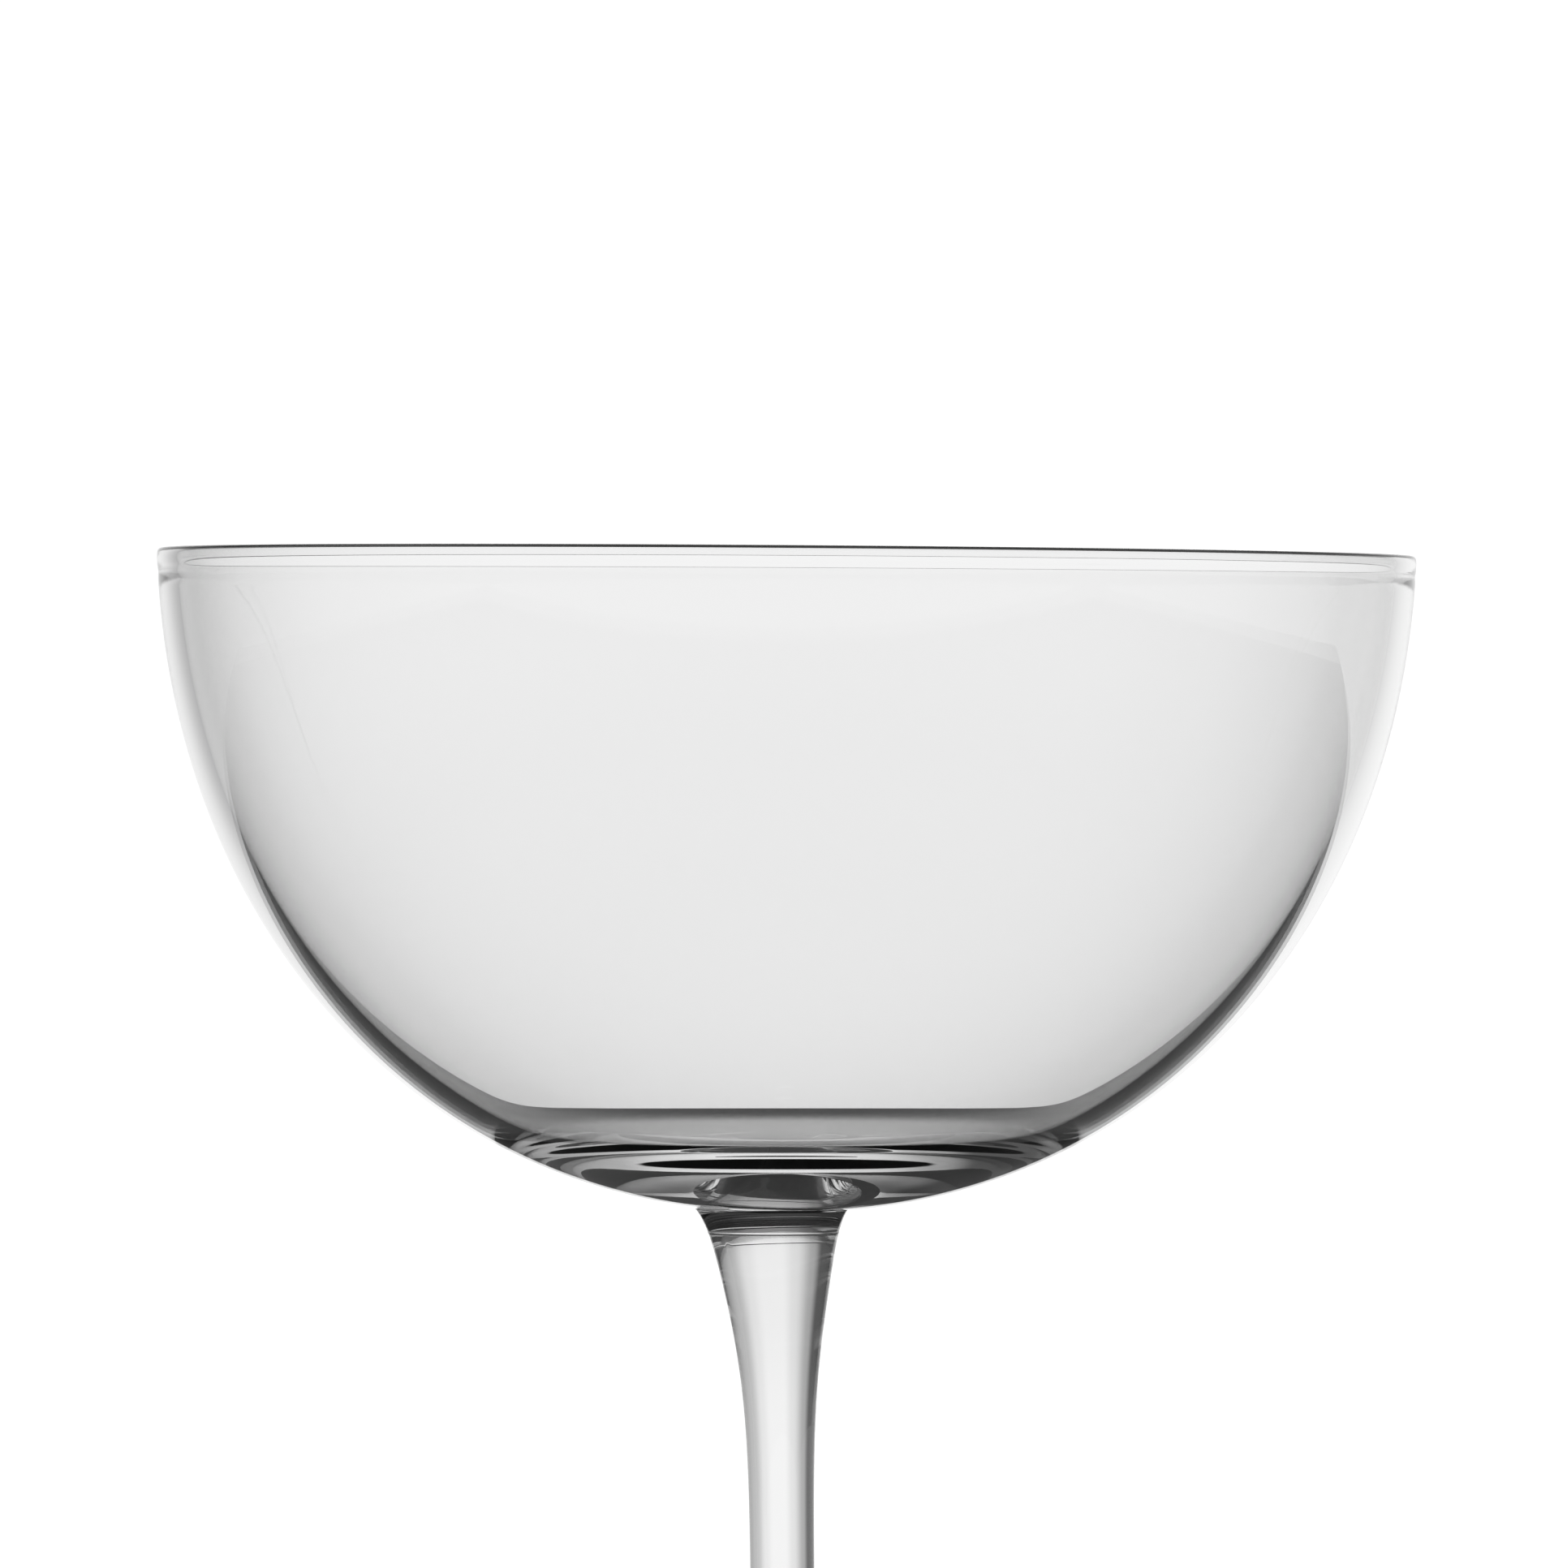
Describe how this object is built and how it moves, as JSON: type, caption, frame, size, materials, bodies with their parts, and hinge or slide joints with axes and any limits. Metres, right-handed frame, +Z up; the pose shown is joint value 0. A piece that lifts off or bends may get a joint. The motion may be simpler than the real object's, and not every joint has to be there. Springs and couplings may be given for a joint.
{
  "type": "martini glass",
  "caption": "Stemmed cocktail glass of clear glass: a wide round bowl with a rounded rim on a short button, a slender flared stem and a disc foot.",
  "frame": {"origin": "centre of the foot's underside, on the surface that it stands on", "axes": "+Z up along the stem and the bowl's axis; the glass is round, so +X and +Y are interchangeable"},
  "size_m": [0.11, 0.11, 0.165],
  "materials": {
    "bowl_glass": "clear, fire-polished",
    "button_glass": "clear, fire-polished",
    "stem_glass": "clear, fire-polished",
    "foot_glass": "clear, fire-polished"
  },
  "bodies": {
    "root": {"bowl": "bowl_glass", "button": "button_glass", "stem": "stem_glass", "foot": "foot_glass"}
  },
  "joints": []
}
